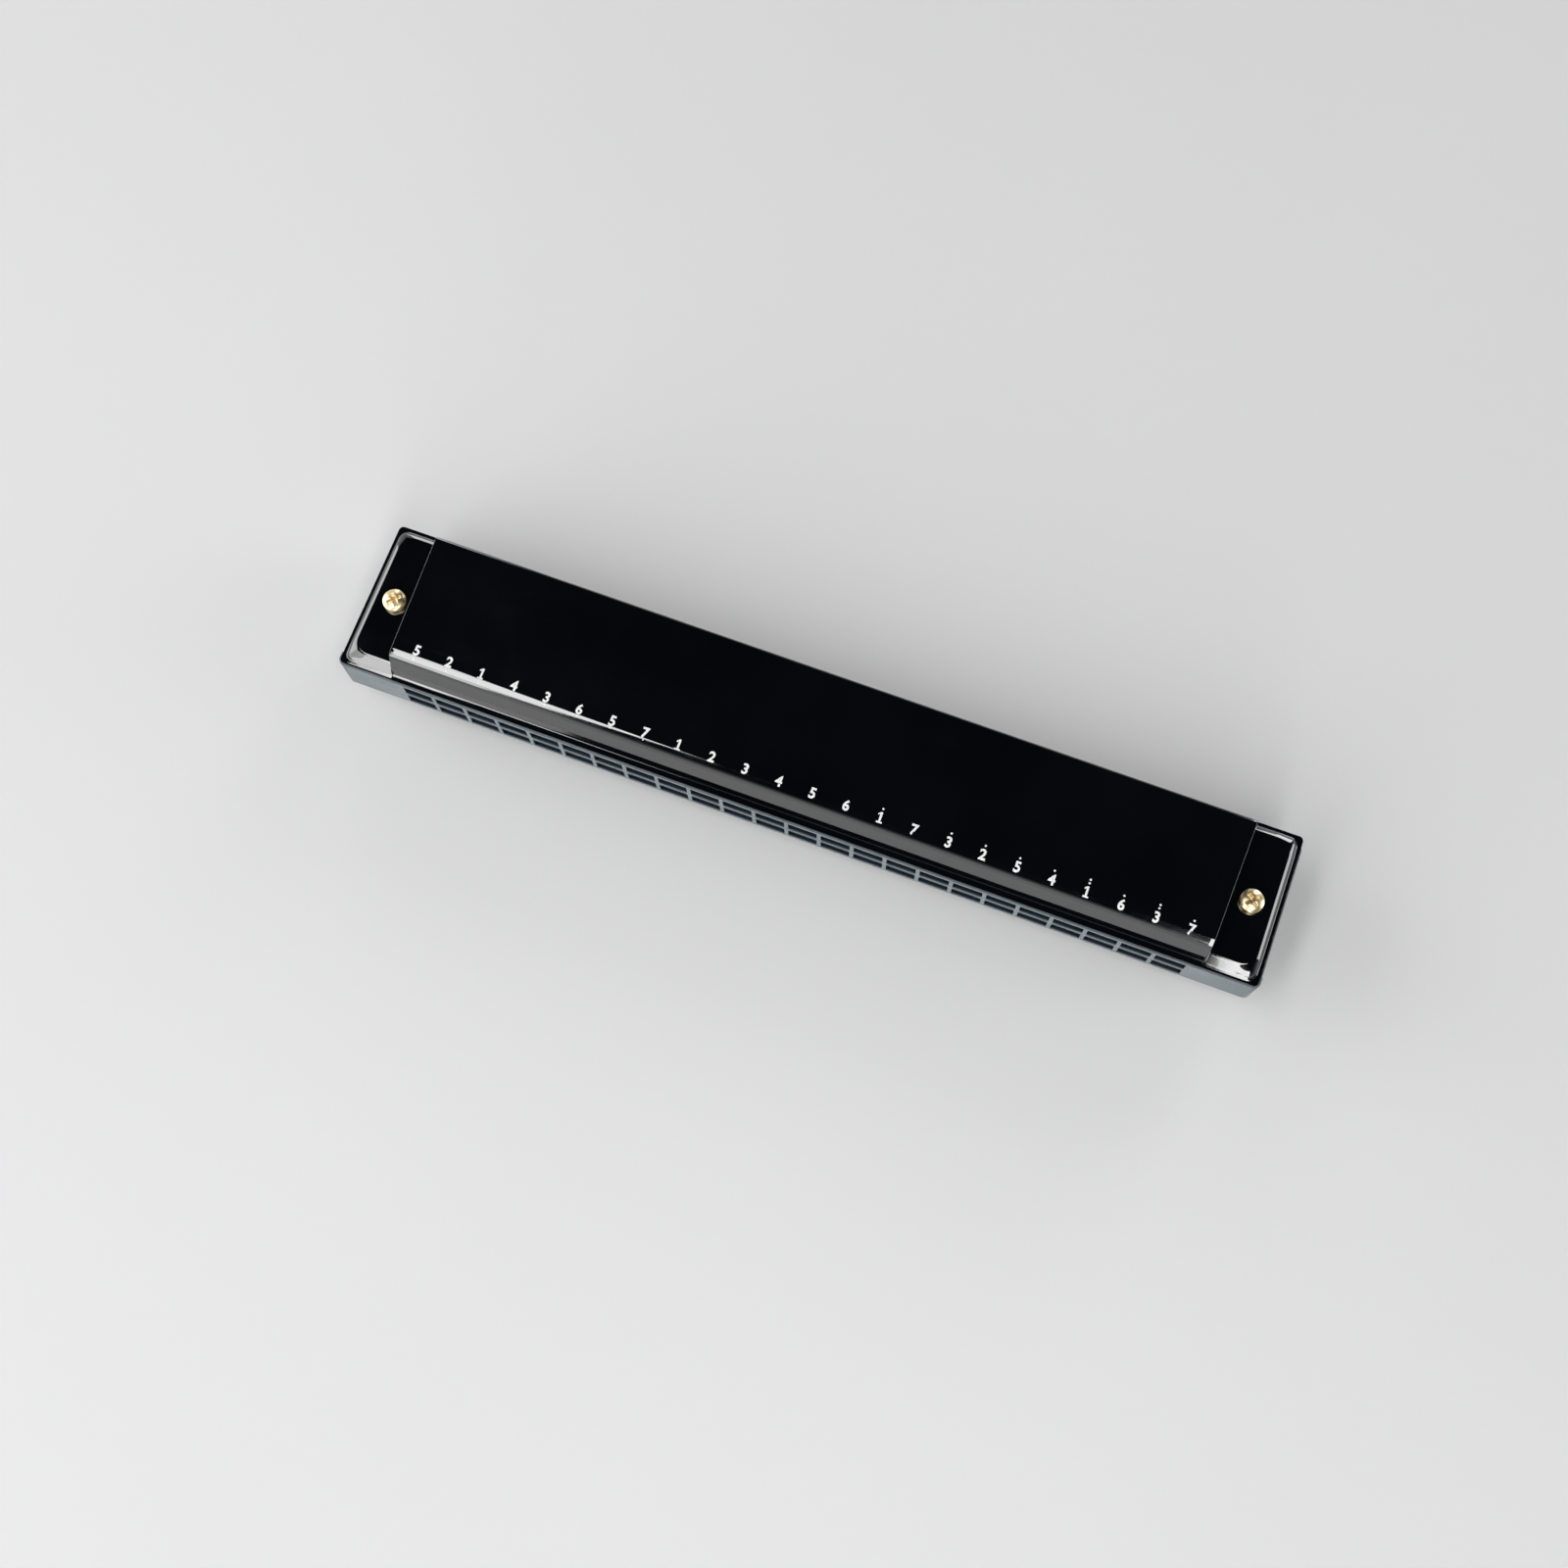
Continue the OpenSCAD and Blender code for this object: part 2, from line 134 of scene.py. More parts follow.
class Cover:
    """The upper cover's sizes, from the CAD node's box, with z counted from the reed plate."""

    def __init__(self):
        lo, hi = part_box("upper_cover")
        self.half_l = hi.x / MM
        self.front, self.rear = lo.y / MM, hi.y / MM
        self.seat = lo.z / MM
        self.height = (hi.z - lo.z) / MM
        self.dome_half = self.half_l - PAD_LENGTH
        self.open_half = self.dome_half - OPENING_END
        self.front_foot = self.front + LIP
        self.top_front = self.front_foot + top_start(self.height, SHOULDER_R, FRONT_LEAN)
        self.dome_rear = self.rear - DOME_SETBACK
        self.pad_d, self.pad_z = wall(PAD_HEIGHT - SHEET, PAD_LEAN, PAD_R, FOOT_R)
        self.pad_d -= PAD_FORWARD
        self.pad_width = self.pad_d[-1]
        self.side_d, self.side_z = wall(PAD_HEIGHT - SHEET, PAD_SIDE_LEAN, PAD_SIDE_R, FOOT_R)

    def pad(self, x, y):
        """Height of the low pads and the flat rim around them. x is the distance from the middle."""
        x1, y0, y1 = self.half_l - PAD_RIM, self.front_foot, self.rear - PAD_RIM
        w = self.pad_width
        foot = inside_distance(x, y, 0, x1, y0, y1, [0, PAD_FOOT_CORNER, 0, PAD_FOOT_CORNER])
        inner = self.dome_half - UNDER_DOME + (y - self.front) * math.tan(math.radians(END_TURN))
        top = inside_distance(x, y, inner, x1 - PAD_SIDE_WIDTH, y0 + w, y1 - PAD_REAR_WIDTH,
                              [PAD_INNER_CORNER, PAD_TOP_CORNER, PAD_INNER_REAR_CORNER, PAD_TOP_CORNER])
        low, high = self.pad_d[0], self.pad_d[-1]
        to_top = np.maximum(-top, 0)
        share = (foot - low) / np.maximum(foot - low + to_top, 1e-6)
        share = np.where(foot <= low, 0, np.where(top >= 0, 1, share))
        sloped = np.interp(low + share * (high - low), self.pad_d, self.pad_z)
        steep = np.interp(share * self.side_d[-1], self.side_d, self.side_z)
        corner_x, corner_y = x1 - PAD_SIDE_WIDTH - PAD_TOP_CORNER, y0 + w + PAD_TOP_CORNER
        in_front = fade(np.arctan2(corner_y - y, x - corner_x), 0, math.pi / 2)
        return SHEET + steep + (sloped - steep) * in_front

    def rows(self):
        """Points of the raised middle's outline from front to back, (y, z), and the y that the same
        row has on the pads."""
        d, slope_z = wall(self.height - SHEET, FRONT_LEAN, SHOULDER_R, FOOT_R,
                          straight_steps=16, arc_steps=24)
        slope_y = self.top_front - d[-1] + d
        rim_y = [self.front, self.front + FRINGE, (self.front + FRINGE + slope_y[0]) / 2]
        roll_start = self.dome_rear - ROLL_R
        fine_front, fine_rear = self.front + FINE_FRONT, self.rear - FINE_REAR
        top_y = np.concatenate([np.arange(self.top_front + FINE_STEP, fine_front, FINE_STEP),
                                np.linspace(fine_front, fine_rear, 13)[1:-1],
                                np.arange(fine_rear, roll_start, FINE_STEP)])
        a = np.linspace(0, math.pi / 2, 14)
        lip_z = self.height - ROLL_DROP
        drop_z = np.linspace(lip_z, SHEET + FOOT_R, 10)
        b = np.linspace(math.pi / 2, 0, FOOT_STEPS)[1:]
        rear_y = np.concatenate([roll_start + ROLL_R * np.sin(a), np.full(len(drop_z), self.dome_rear),
                                 self.dome_rear + FOOT_R * (1 - np.sin(b))])
        rear_z = np.concatenate([self.height - ROLL_R * (1 - np.cos(a)), drop_z,
                                 SHEET + FOOT_R * (1 - np.cos(b))])
        tail_y = [self.rear - FRINGE, self.rear]
        pad_rear_y = np.linspace(roll_start, tail_y[0] - FINE_STEP, len(rear_y))
        y = np.concatenate([rim_y, slope_y, top_y, rear_y, tail_y])
        z = np.concatenate([[SHEET] * len(rim_y), SHEET + slope_z, np.full(len(top_y), self.height),
                            rear_z, [SHEET] * len(tail_y)])
        pad_y = np.concatenate([rim_y, slope_y, top_y, pad_rear_y, tail_y])
        return y, z, pad_y, lip_z

    def columns(self):
        """Distances from the middle along one half, how far each column belongs to the raised
        middle (1) or the pad (0), and how much of the end's turn it takes."""
        d, z = wall(self.height - PAD_HEIGHT, END_LEAN, END_R, FOOT_R, straight_steps=8, arc_steps=5)
        share = z / z[-1]
        top = self.dome_half - top_start(self.height, END_R, END_LEAN)
        end_x = (top + d[-1] - d)[::-1]
        share = share[::-1]
        middle = np.concatenate([np.linspace(0, self.open_half, 26),
                                 np.linspace(self.open_half, top, 6)[1:-1]])
        fine_inner, fine_side = self.half_l - FINE_INNER, self.half_l - FINE_SIDE
        outer = self.half_l - np.array([FRINGE + FINE_STEP, FRINGE, 0])
        pad = np.concatenate([np.arange(end_x[-1] + FINE_STEP, fine_inner, FINE_STEP),
                              np.arange(fine_inner + COARSE_STEP, fine_side, COARSE_STEP),
                              np.arange(fine_side + SLOPE_STEP, outer[0] - SLOPE_STEP / 2, SLOPE_STEP),
                              outer])
        x = np.concatenate([middle, end_x, pad])
        w = np.concatenate([np.ones(len(middle)), share, np.zeros(len(pad))])
        turn_out = fade(x, self.half_l - TURN_FADE_START, self.half_l - TURN_FADE_END)
        turn = fade(x, self.open_half, top - TURN_SETS_IN) * (1 - turn_out)
        return x, w, turn

    def round_corners(self, x, y):
        """Pulls a square sheet's corner points in to the corner radius."""
        mid = (self.front + self.rear) / 2
        core_x, core_y = self.half_l - COVER_CORNER, (self.rear - self.front) / 2 - COVER_CORNER
        qx, qy = x - core_x, np.abs(y - mid) - core_y
        both = (qx > 0) & (qy > 0)
        k = np.maximum(qx, qy) / (np.hypot(qx, qy) + 1e-9)
        new_x = np.where(both, core_x + qx * k, x)
        new_y = np.where(both, mid + np.sign(y - mid) * (core_y + qy * k), y)
        return new_x, new_y

    def grid(self):
        """All points of the outer face as arrays [column, row], and which faces stay."""
        y, z, pad_y, lip_z = self.rows()
        x, w, turn = self.columns()
        grid_y = pad_y[None, :] + (y - pad_y)[None, :] * w[:, None]
        swing = (grid_y - self.front) * math.tan(math.radians(END_TURN))
        grid_x = x[:, None] + swing * turn[:, None]
        low = self.pad(grid_x, np.broadcast_to(pad_y[None, :], grid_x.shape))
        grid_z = low + (np.maximum(z[None, :], low) - low) * w[:, None]
        grid_z = np.where(w[:, None] >= 1, z[None, :], grid_z)
        grid_x, grid_y = self.round_corners(grid_x, grid_y)
        first_open = int(np.argmax((y >= self.dome_rear - 1e-6) & (z <= lip_z + 1e-6)))
        in_opening = x[:, None] <= self.open_half + 1e-6
        below_lip = np.arange(len(y))[None, :] >= first_open
        return grid_x, grid_y, grid_z, in_opening, below_lip

    def top_z(self, y):
        """Height of the raised middle's outer face over a point near its front shoulder."""
        d, z = wall(self.height - SHEET, FRONT_LEAN, SHOULDER_R, FOOT_R)
        return SHEET + np.interp(y, self.top_front - d[-1] + d, z)


def cover_mesh(cover, name, side):
    """One cover as a sheet of the real thickness. side is 1 for the upper and -1 for the lower."""
    gx, gy, gz, in_opening, below_lip = cover.grid()
    n, m = gx.shape
    mid_z = (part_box("upper_cover")[1].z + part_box("lower_cover")[0].z) / 2
    level = cover.seat * MM - mid_z
    columns = [(-1, i) for i in range(n - 1, 0, -1)] + [(1, i) for i in range(n)]
    bm = bmesh.new()
    made = {}
    for c, (s, i) in enumerate(columns):
        for j in range(m):
            place = (s * gx[i, j] * MM, gy[i, j] * MM, mid_z + side * (level + gz[i, j] * MM))
            made[c, j] = bm.verts.new(place)
    for c in range(len(columns) - 1):
        i = max(columns[c][1], columns[c + 1][1])
        for j in range(m - 1):
            if in_opening[i, 0] and below_lip[0, j]:
                continue
            corners = [made[c, j], made[c + 1, j], made[c + 1, j + 1], made[c, j + 1]]
            face = bm.faces.new(corners if side > 0 else corners[::-1])
            face.smooth = True
    bmesh.ops.delete(bm, geom=[v for v in bm.verts if not v.link_faces], context="VERTS")
    piece = new_piece(name, bm)
    thick = piece.modifiers.new("Sheet", "SOLIDIFY")
    thick.thickness, thick.offset = SHEET * MM, -1
    rim = piece.modifiers.new("Edge", "BEVEL")
    rim.width, rim.segments, rim.limit_method = EDGE_ROUND * MM, 3, "ANGLE"
    rim.angle_limit, rim.harden_normals = math.radians(EDGE_ANGLE), True
    return piece


def new_piece(name, bm):
    mesh = bpy.data.meshes.new(name)
    bm.to_mesh(mesh)
    bm.free()
    piece = bpy.data.objects.new(name, mesh)
    bpy.context.scene.collection.objects.link(piece)
    return piece


# ---- Printed numbers ----

def figure_one():
    """A 1 with a flag and a foot, one unit high, in one outline."""
    outline = [(-0.26, 0), (0.28, 0), (0.28, 0.14), (0.11, 0.14), (0.11, 1), (-0.06, 1), (-0.27, 0.84),
               (-0.27, 0.68), (-0.08, 0.79), (-0.08, 0.14), (-0.26, 0.14)]
    bm = bmesh.new()
    bm.faces.new([bm.verts.new((x, y, 0)) for x, y in outline])
    mesh = bpy.data.meshes.new("glyph")
    bm.to_mesh(mesh)
    bm.free()
    return mesh


def glyph_mesh(text):
    """The outline of one figure as a mesh one unit high, standing on y = 0 and centred on x = 0."""
    if text == "1":
        return figure_one()
    curve = bpy.data.curves.new("glyph", "FONT")
    curve.body, curve.offset, curve.resolution_u = text, GLYPH_BOLDNESS, 6
    holder = bpy.data.objects.new("glyph", curve)
    bpy.context.scene.collection.objects.link(holder)
    bpy.context.view_layer.update()
    mesh = bpy.data.meshes.new_from_object(holder)
    bpy.data.objects.remove(holder)
    co = np.array([v.co[:] for v in mesh.vertices])
    lo, hi = co.min(0), co.max(0)
    size = hi[1] - lo[1]
    mesh.transform(Matrix.Translation((-(lo[0] + hi[0]) / 2, -lo[1], 0)))
    mesh.transform(Matrix.Scale(1 / size, 4))
    return mesh


def number_mesh(cover):
    """All figures and dots as one piece that follows the front shoulder. Long edges are cut, so that
    the figures bend with it."""
    bm = bmesh.new()
    glyphs = {c: glyph_mesh(c) for c in sorted(set(NUMBERS))}
    for i, c in enumerate(NUMBERS):
        x = NUMBER_X + (i - (len(NUMBERS) - 1) / 2) * NUMBER_PITCH
        y = NUMBER_Y + NUMBER_SLOPE * x - NUMBER_HEIGHT / 2
        glyph = glyphs[c].copy()
        glyph.transform(Matrix.Diagonal((NUMBER_HEIGHT * NUMBER_WIDTH, NUMBER_HEIGHT, 1, 1)))
        glyph.transform(Matrix.Translation((x, y, 0)))
        bm.from_mesh(glyph)
        bpy.data.meshes.remove(glyph)
        for k in range(DOTS.get(i, 0)):
            add_dot(bm, x, y + NUMBER_HEIGHT + DOT_GAP + DOT_STEP * k, DOT_R)
        for k in range(LOW_DOTS.get(i, 0)):
            add_dot(bm, x, y - LOW_DOT_GAP - LOW_DOT_STEP * k, LOW_DOT_R)
    for glyph in glyphs.values():
        bpy.data.meshes.remove(glyph)
    bmesh.ops.triangulate(bm, faces=bm.faces[:])
    long_edges = [e for e in bm.edges if e.calc_length() > LONGEST_EDGE]
    bmesh.ops.subdivide_edges(bm, edges=long_edges, cuts=2)
    for v in bm.verts:
        v.co.z = cover.seat + float(cover.top_z(v.co.y)) + PRINT_THICK
        v.co *= MM
    return new_piece("note_numbers", bm)


def add_dot(bm, x, y, r):
    place = Matrix.Translation((x, y, 0))
    bmesh.ops.create_circle(bm, cap_ends=True, segments=16, radius=r, matrix=place)


# ---- Materials ----

class Nodes:
    """Short names for building a procedural material on a Principled shader."""

    def __init__(self, name, **constants):
        self.material = bpy.data.materials.new(name)
        self.material.use_nodes = True
        self.tree = self.material.node_tree
        self.shader = self.tree.nodes["Principled BSDF"]
        for socket, value in constants.items():
            self.shader.inputs[socket.replace("_", " ")].default_value = value
        self.place = self.tree.nodes.new("ShaderNodeTexCoord").outputs["Object"]

    def link(self, source, node, socket):
        self.tree.links.new(source, node.inputs[socket])

    def stretched(self, scale):
        """Object coordinates, which are metres here, scaled along each axis."""
        node = self.tree.nodes.new("ShaderNodeMapping")
        node.inputs["Scale"].default_value = scale
        self.link(self.place, node, "Vector")
        return node.outputs["Vector"]

    def noise(self, scale, detail=3.0, roughness=0.5, stretch=None, distortion=0.0):
        node = self.tree.nodes.new("ShaderNodeTexNoise")
        self.link(self.stretched(stretch) if stretch else self.place, node, "Vector")
        node.inputs["Scale"].default_value = scale
        node.inputs["Detail"].default_value = detail
        node.inputs["Roughness"].default_value = roughness
        node.inputs["Distortion"].default_value = distortion
        return node.outputs["Fac"]

    def spread(self, source, low, high, to_low=0.0, to_high=1.0):
        node = self.tree.nodes.new("ShaderNodeMapRange")
        self.link(source, node, "Value")
        limits = {"From Min": low, "From Max": high, "To Min": to_low, "To Max": to_high}
        for socket, value in limits.items():
            node.inputs[socket].default_value = value
        return node.outputs["Result"]

    def math(self, operation, a, b):
        node = self.tree.nodes.new("ShaderNodeMath")
        node.operation = operation
        for k, value in enumerate((a, b)):
            if isinstance(value, (int, float)):
                node.inputs[k].default_value = value
            else:
                self.tree.links.new(value, node.inputs[k])
        return node.outputs["Value"]

    def mix(self, share, a, b):
        """A colour from a to b by share; each is a colour or the output of another node."""
        node = self.tree.nodes.new("ShaderNodeMix")
        node.data_type = "RGBA"
        self.tree.links.new(share, node.inputs["Factor"])
        for socket, value in ((node.inputs[6], a), (node.inputs[7], b)):
            if isinstance(value, tuple):
                socket.default_value = (*value, 1)
            else:
                self.tree.links.new(value, socket)
        return node.outputs[2]

    def edges(self, low, high):
        """1 on worn outer edges, 0 elsewhere."""
        node = self.tree.nodes.new("ShaderNodeNewGeometry")
        return self.spread(node.outputs["Pointiness"], low, high)

    def bump(self, height, strength, distance, normal=None):
        node = self.tree.nodes.new("ShaderNodeBump")
        node.inputs["Strength"].default_value = strength
        node.inputs["Distance"].default_value = distance
        self.link(height, node, "Height")
        if normal:
            self.link(normal, node, "Normal")
        return node.outputs["Normal"]

    def finish(self, color=None, roughness=None, normal=None, metallic=None):
        for socket, source in (("Base Color", color), ("Roughness", roughness), ("Normal", normal),
                               ("Metallic", metallic)):
            if source is not None:
                self.link(source, self.shader, socket)
        return self.material


def cover_enamel():
    """Baked gloss-black enamel: orange peel, faint polish marks and a little rub along the edges."""
    m = Nodes("cover_enamel", IOR=2.05)
    smudge = m.noise(90, 4, 0.6, distortion=0.6)
    hairlines = m.noise(900, 2, 0.6, stretch=(0.06, 1, 1))
    rough = m.math("ADD", m.spread(smudge, 0.45, 0.75, 0.045, 0.10),
                   m.spread(hairlines, 0.62, 0.8, 0, 0.05))
    rubbed = m.math("MULTIPLY", m.edges(0.62, 0.8), m.spread(m.noise(700, 4), 0.5, 0.62))
    depth = m.spread(m.noise(40, 3), 0.35, 0.7)
    color = m.mix(depth, (0.0010, 0.0013, 0.0018), (0.0018, 0.0024, 0.0034))
    color = m.mix(rubbed, color, (0.06, 0.055, 0.05))
    peel = m.bump(m.noise(420, 2, 0.4), 0.12, 0.00002)
    normal = m.bump(hairlines, 0.03, 0.00001, peel)
    return m.finish(color, rough, normal)


def print_paint():
    """Screen-printed white ink: matt, slightly uneven and thin in places."""
    m = Nodes("print_ink")
    color = m.mix(m.spread(m.noise(2600, 3, 0.7), 0.35, 0.7), (0.62, 0.62, 0.62), (0.86, 0.86, 0.85))
    rough = m.spread(m.noise(1500, 2), 0.3, 0.7, 0.4, 0.62)
    return m.finish(color, rough, m.bump(m.noise(3800, 2), 0.2, 0.00001))


def cell_painted_shade_mask(m):
    """Painted shade: 1 on the walls inside the comb's cells, where shade falls in the recesses, less on
    the rail between the two rows, and 0 on the comb's outside."""
    lo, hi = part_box("comb")
    plate_lo, plate_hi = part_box("upper_reed_plate")
    mid_z = (lo.z + hi.z) / 2
    part = m.tree.nodes.new("ShaderNodeSeparateXYZ")
    m.link(m.place, part, "Vector")
    x, y, z = part.outputs
    from_mid = m.math("ABSOLUTE", m.math("SUBTRACT", z, mid_z), 0)
    walls = m.math("MULTIPLY", m.spread(y, lo.y + SHADE_START * MM, lo.y + SHADE_FULL * MM),
                   m.math("LESS_THAN", from_mid, plate_lo.z - mid_z + SHADE_MARGIN * MM))
    # Painted shade on the rail between the two rows, at RAIL_SHADE of the cells' painted shade
    step = m.math("FLOORED_MODULO", x, CELL_PITCH * MM)
    from_cell = m.math("ABSOLUTE", m.math("SUBTRACT", step, CELL_PITCH / 2 * MM), 0)
    rail = m.math("MULTIPLY", m.math("LESS_THAN", from_cell, CELL_WIDTH / 2 * MM),
                  m.math("LESS_THAN", from_mid, RAIL_HEIGHT / 2 * MM))
    dark = m.math("MAXIMUM", walls, m.math("MULTIPLY", rail, RAIL_SHADE))
    dark = m.math("MULTIPLY", dark, m.math("LESS_THAN", y, plate_hi.y - SHADE_END * MM))
    return m.math("MULTIPLY", dark, m.math("LESS_THAN", m.math("ABSOLUTE", x, 0), CELLS_HALF * MM))


def comb_plastic():
    """Moulded blue-grey plastic: fine grain, flow tone, paler, smoother worn edges, and painted shade
    in the cells.
    """
    m = Nodes("comb_plastic", IOR=1.53)
    flow = m.noise(55, 4, 0.55, stretch=(0.35, 1, 1), distortion=0.8)
    grain = m.noise(5200, 3, 0.6)
    specks = m.spread(m.noise(1700, 2, 0.5), 0.68, 0.76)
    color = m.mix(m.spread(flow, 0.35, 0.68), (0.092, 0.116, 0.131), (0.112, 0.138, 0.154))
    color = m.mix(m.math("MULTIPLY", specks, 0.35), color, (0.065, 0.083, 0.094))
    worn = m.math("MULTIPLY", m.edges(0.55, 0.72), m.spread(m.noise(500, 3), 0.3, 0.6, 0.3, 1.0))
    color = m.mix(m.math("MULTIPLY", worn, 0.5), color, (0.20, 0.24, 0.265))
    # Painted shade: the cells' inner walls and the rail between the rows turn near-black blue, where
    # shade falls in the recesses
    color = m.mix(cell_painted_shade_mask(m), color, (0.005, 0.012, 0.020))
    rough = m.math("SUBTRACT", m.spread(grain, 0.3, 0.7, 0.30, 0.44), m.math("MULTIPLY", worn, 0.12))
    normal = m.bump(flow, 0.12, 0.00006, m.bump(grain, 0.22, 0.000012))
    return m.finish(color, rough, normal)


def brass(name, pale, deep, base_rough, stroke, stroke_scale, tarnish=0.5):
    """Worked brass: strokes of the tool along one axis, tarnish in patches and a little dirt."""
    m = Nodes(name, Metallic=1.0)
    lines = m.noise(stroke_scale, 3, 0.65, stretch=stroke)
    patches = m.noise(160, 5, 0.6, distortion=0.5)
    tone = m.mix(m.spread(patches, 0.38, 0.68), pale, deep)
    dirt = m.spread(m.noise(950, 4, 0.6), 0.62, 0.8, 0, tarnish)
    color = m.mix(dirt, tone, (0.22, 0.13, 0.05))
    bright = m.mix(m.math("MULTIPLY", m.edges(0.56, 0.74), 0.6), color, (0.95, 0.84, 0.6))
    rough = m.math("ADD", m.spread(lines, 0.3, 0.7, base_rough - 0.06, base_rough + 0.1),
                   m.math("MULTIPLY", dirt, 0.25))
    return m.finish(bright, rough, m.bump(lines, 0.25, 0.00001))


def node_materials():
    """Materials of the named nodes, and the one that all the reeds share."""
    plate = brass("plate_brass", (0.78, 0.60, 0.31), (0.66, 0.48, 0.22), 0.27, (0.03, 1, 1), 5200)
    reed = brass("reed_brass", (0.84, 0.68, 0.38), (0.74, 0.56, 0.28), 0.24, (1, 0.05, 1), 9000, 0.3)
    foot = brass("foot_brass", (0.80, 0.63, 0.34), (0.68, 0.51, 0.25), 0.3, (1, 0.08, 1), 8000)
    rivet = brass("rivet_brass", (0.86, 0.72, 0.44), (0.78, 0.62, 0.34), 0.2, (1, 1, 1), 7000, 0.3)
    screw = brass("screw_brass", (0.90, 0.74, 0.46), (0.84, 0.66, 0.37), 0.30, (1, 1, 0.3), 6000, 0.2)
    named = {"comb": comb_plastic(), "cover_screws": screw, "cover_nuts": screw, "plate_pins": rivet}
    for side in ("upper", "lower"):
        named[side + "_reed_plate"] = plate
        named[side + "_reed_feet"] = foot
        named[side + "_rivets"] = rivet
    return named, reed


# Rounding of the CAD nodes' edges, in millimetres
ROUNDING = {"comb": 0.14, "upper_reed_plate": 0.05, "lower_reed_plate": 0.05, "cover_screws": 0.12,
            "cover_nuts": 0.12, "plate_pins": 0.1, "upper_rivets": 0.1, "lower_rivets": 0.1,
            "upper_reed_feet": 0.05, "lower_reed_feet": 0.05}
REED_ROUNDING = 0.03
FACET_ANGLE, NODE_EDGE_ANGLE = 0.5, 32


def soften(node, width):
    """Joins the imported facets and rounds the node's edges, with modifiers only."""
    weld = node.modifiers.new("Weld", "WELD")
    weld.merge_threshold = 1e-6
    flat = node.modifiers.new("Facets", "DECIMATE")
    flat.decimate_type, flat.angle_limit = "DISSOLVE", math.radians(FACET_ANGLE)
    edge = node.modifiers.new("Edge", "BEVEL")
    edge.width, edge.segments, edge.limit_method = width * MM, 2, "ANGLE"
    edge.angle_limit, edge.harden_normals = math.radians(NODE_EDGE_ANGLE), True


def dress_nodes():
    """Gives every CAD node but the replaced covers its material and rounded edges."""
    named, reed = node_materials()
    for name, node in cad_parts.items():
        if name.endswith("_cover"):
            continue
        node.data.materials.clear()
        node.data.materials.append(named.get(name, reed))
        soften(node, ROUNDING.get(name, REED_ROUNDING))


# ---- Pieces ----

def build_covers():
    """The two pressings that stand for the CAD's covers, and the numbers printed on the upper one."""
    cover = Cover()
    enamel = cover_enamel()
    for name, side in (("upper_cover_pressing", 1), ("lower_cover_pressing", -1)):
        piece = cover_mesh(cover, name, side)
        piece.data.materials.append(enamel)
        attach(piece, BODY)
        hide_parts(name.replace("_pressing", ""))
    numbers = number_mesh(cover)
    numbers.data.materials.append(print_paint())
    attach(numbers, BODY)


# ---- Stage, light and camera ----

FLOOR_RADIUS = 2.6


def build_floor():
    """A plain pale round floor."""
    bm = bmesh.new()
    bmesh.ops.create_circle(bm, cap_ends=True, segments=96, radius=FLOOR_RADIUS)
    floor = new_piece("floor", bm)
    m = Nodes("floor_paint")
    tone = m.mix(m.spread(m.noise(3, 3), 0.3, 0.7), (0.60, 0.60, 0.605), (0.63, 0.63, 0.635))
    m.shader.inputs["Specular IOR Level"].default_value = 0.2
    floor.data.materials.append(m.finish(tone, m.spread(m.noise(40, 2), 0.3, 0.7, 0.7, 0.8)))


def build_world():
    """Dark overhead, so that the flat black top stays black, and pale towards the horizon."""
    world = bpy.data.worlds.new("studio")
    bpy.context.scene.world = world
    world.use_nodes = True
    tree = world.node_tree
    background = tree.nodes["Background"]
    coord = tree.nodes.new("ShaderNodeTexCoord")
    split = tree.nodes.new("ShaderNodeSeparateXYZ")
    ramp = tree.nodes.new("ShaderNodeValToRGB")
    tree.links.new(coord.outputs["Generated"], split.inputs["Vector"])
    tree.links.new(split.outputs["Z"], ramp.inputs["Fac"])
    tree.links.new(ramp.outputs["Color"], background.inputs["Color"])
    ramp.color_ramp.interpolation = "EASE"
    ramp.color_ramp.elements[0].position = 0.0
    ramp.color_ramp.elements[0].color = (0.50, 0.503, 0.508, 1)
    ramp.color_ramp.elements[1].position = 0.62
    ramp.color_ramp.elements[1].color = (0.004, 0.005, 0.007, 1)


def panel(name, corner, along, up, radiance):
    """A rectangular studio lamp from one corner and its two sides, turned to face the object.
    radiance is how bright its face looks."""
    corner, along, up = Vector(corner), Vector(along), Vector(up)
    center = corner + (along + up) / 2
    if along.cross(up).dot(center) < 0:
        along, up = up, along
    lamp = bpy.data.lights.new(name, "AREA")
    lamp.shape, lamp.size, lamp.size_y = "RECTANGLE", along.length, up.length
    lamp.energy = radiance * math.pi * lamp.size * lamp.size_y
    holder = bpy.data.objects.new(name, lamp)
    bpy.context.scene.collection.objects.link(holder)
    axes = Matrix((along.normalized(), up.normalized(), along.cross(up).normalized()))
    holder.matrix_world = Matrix.Translation(center) @ axes.transposed().to_4x4()
    holder.visible_camera = False


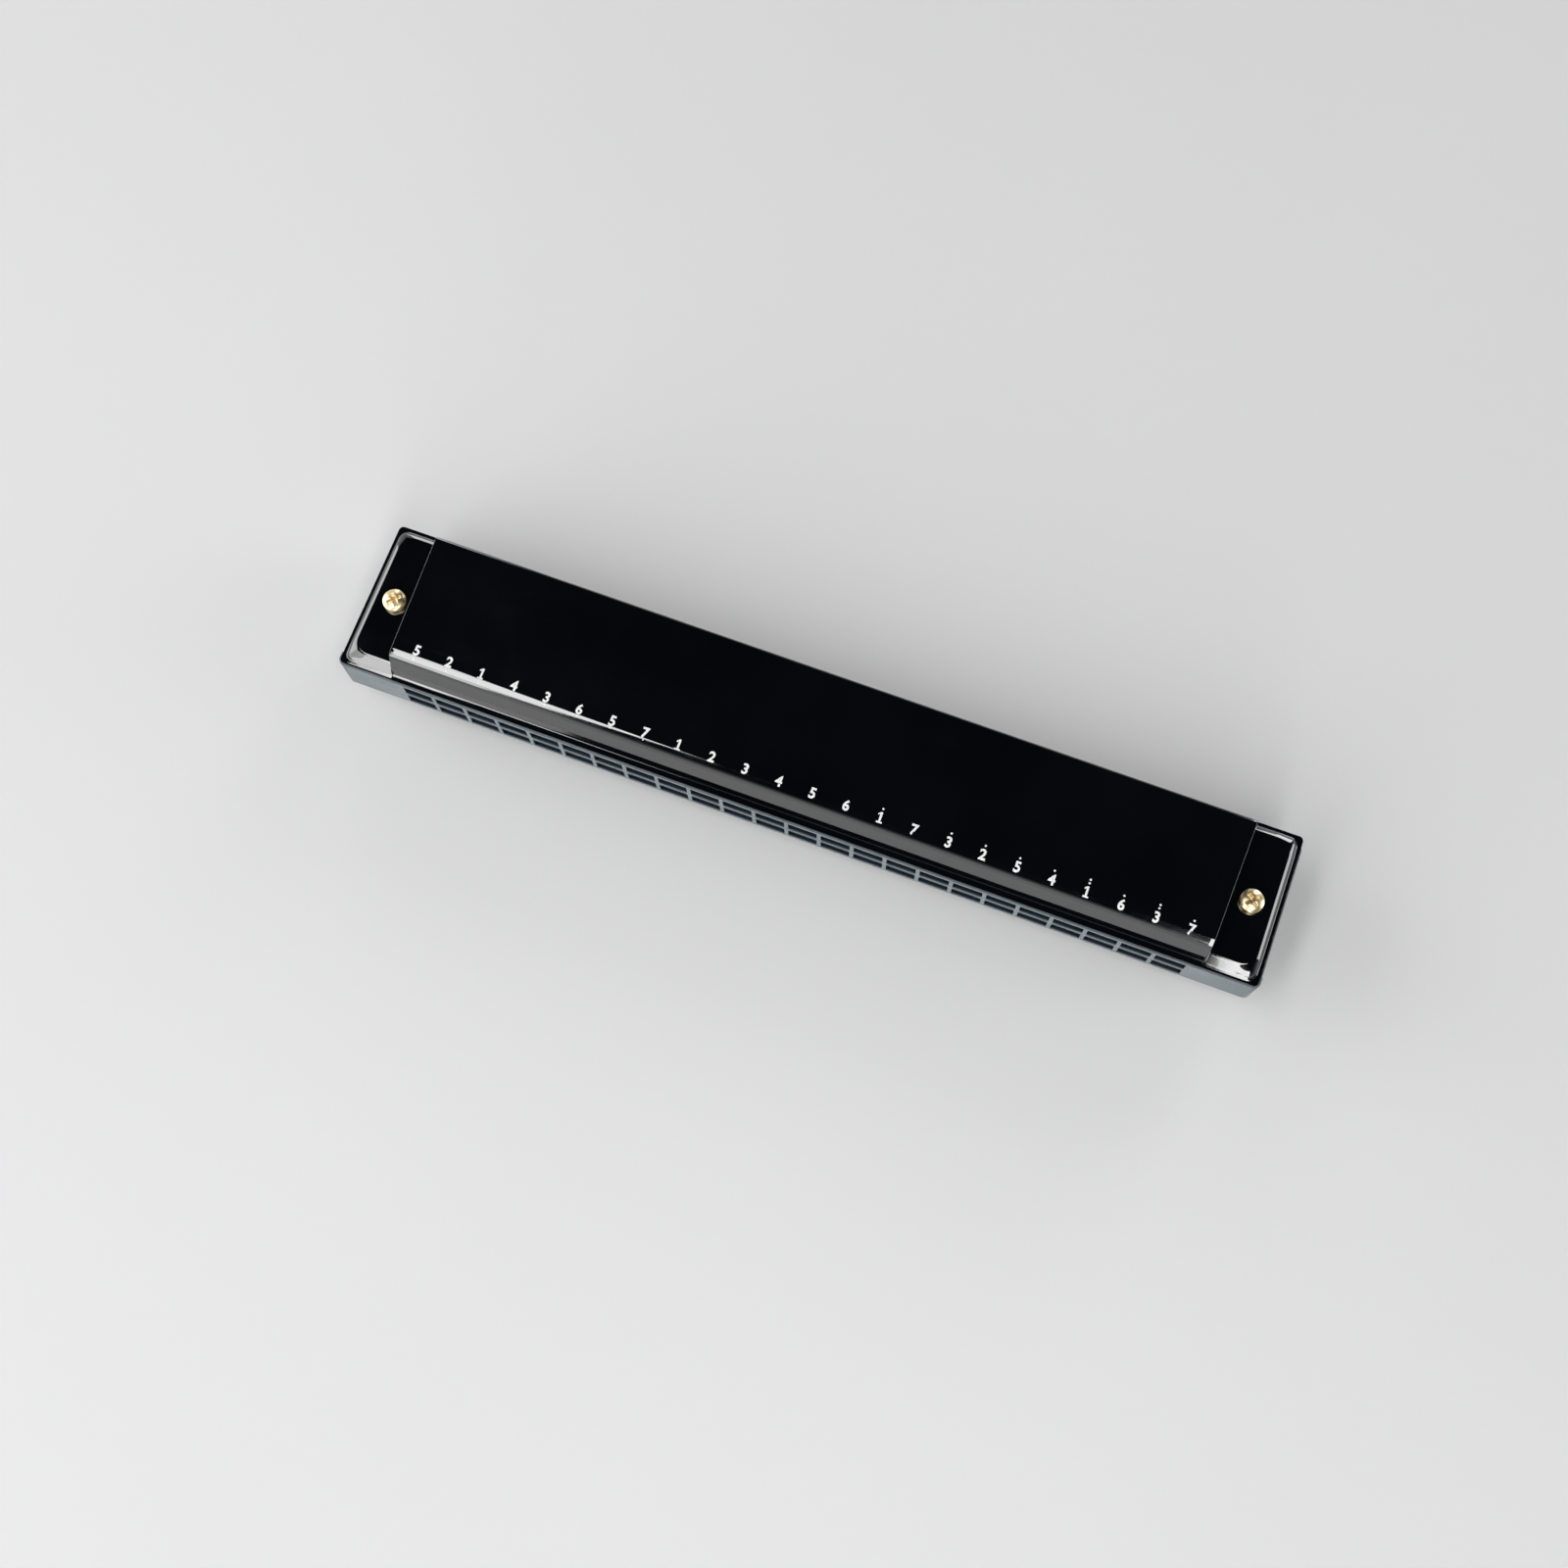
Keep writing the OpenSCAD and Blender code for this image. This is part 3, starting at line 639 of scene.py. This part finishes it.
def build_lights():
    """Soft panels over the two ends and low around them, with a dark gap over the middle that keeps
    the long top black. Their edges end the bright lines on the covers."""
    panel("top_left_end", (-0.262, -0.12, 1.0), (-0.10, 0.30, 0), (-0.17, -0.0567, 0), 5.6)
    panel("top_left_near", (-0.170, -0.10, 1.0), (-0.129, -0.62, 0), (-0.20, 0.0416, 0), 6.2)
    panel("top_left_far", (-0.299, -0.72, 1.0), (-0.187, -0.90, 0), (-0.17, 0.0353, 0), 6.2)
    panel("top_left_outer", (-0.47, -0.68, 1.0), (-0.187, -0.90, 0), (-0.14, 0.0291, 0), 3.4)
    panel("front_left", (-0.50, -1.65, 0.02), (-0.28, 0, 0), (0, 0, 1.04), 4.0)
    panel("corner_left", (-0.80, -1.65, 0.02), (-0.52, 1.2, 0), (0, 0, 1.15), 2.2)
    panel("left", (-1.32, -0.45, 0.05), (0, 0.95, 0), (0, 0, 1.15), 3.4)
    panel("corner_back", (-1.32, 0.50, 0.10), (0.54, 0.85, 0), (0, 0, 0.9), 0.4)
    panel("back_left", (-0.50, 1.35, 0.10), (-0.28, 0, 0), (0, 0, 0.9), 3.8)
    panel("back_right", (0.25, 1.35, 0.10), (0.42, 0, 0), (0, 0, 0.9), 5.2)
    panel("top_right_near", (0.194, -0.11, 1.0), (0.044, -0.87, 0), (0.25, 0.0126, 0), 6.8)
    panel("top_right_far", (0.238, -0.98, 1.0), (0.101, -1.02, 0), (0.25, 0.0248, 0), 6.8)
    panel("front_right", (0.315, -2.0, 0.02), (0.31, 0, 0), (0, 0, 1.05), 6.4)
    panel("right", (1.32, 0.10, 0.05), (0, 0.70, 0), (0, 0, 0.95), 3.4)


CAMERA_PLACE = Vector((0.0380, -0.1029, 0.3741))
CAMERA_TARGET = Vector((-0.0020, -0.0099, 0.0238))
CAMERA_ROLL = 21.11
CAMERA_LENS, CAMERA_SENSOR = 46.9, 36.0


def build_camera():
    """Looks down from the front and a little from the right, turned about its own axis."""
    data = bpy.data.cameras.new("camera")
    data.lens, data.sensor_width, data.clip_start = CAMERA_LENS, CAMERA_SENSOR, 0.01
    camera = bpy.data.objects.new("camera", data)
    bpy.context.scene.collection.objects.link(camera)
    forward = (CAMERA_TARGET - CAMERA_PLACE).normalized()
    level = forward.cross(Vector((0, 1, 0))).normalized()
    raised = level.cross(forward)
    roll = math.radians(CAMERA_ROLL)
    right = level * math.cos(roll) + raised * math.sin(roll)
    up = right.cross(forward)
    axes = Matrix((right, up, -forward)).transposed()
    camera.matrix_world = Matrix.Translation(CAMERA_PLACE) @ axes.to_4x4()
    bpy.context.scene.camera = camera


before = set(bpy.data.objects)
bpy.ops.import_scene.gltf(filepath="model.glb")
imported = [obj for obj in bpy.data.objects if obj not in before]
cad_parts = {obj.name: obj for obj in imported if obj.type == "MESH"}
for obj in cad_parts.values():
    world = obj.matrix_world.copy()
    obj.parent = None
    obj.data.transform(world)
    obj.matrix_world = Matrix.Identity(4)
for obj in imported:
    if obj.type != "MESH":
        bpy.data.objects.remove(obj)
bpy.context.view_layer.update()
build_covers()
dress_nodes()
build_floor()
build_world()
build_lights()
build_camera()
bpy.context.scene.view_settings.view_transform = "Standard"
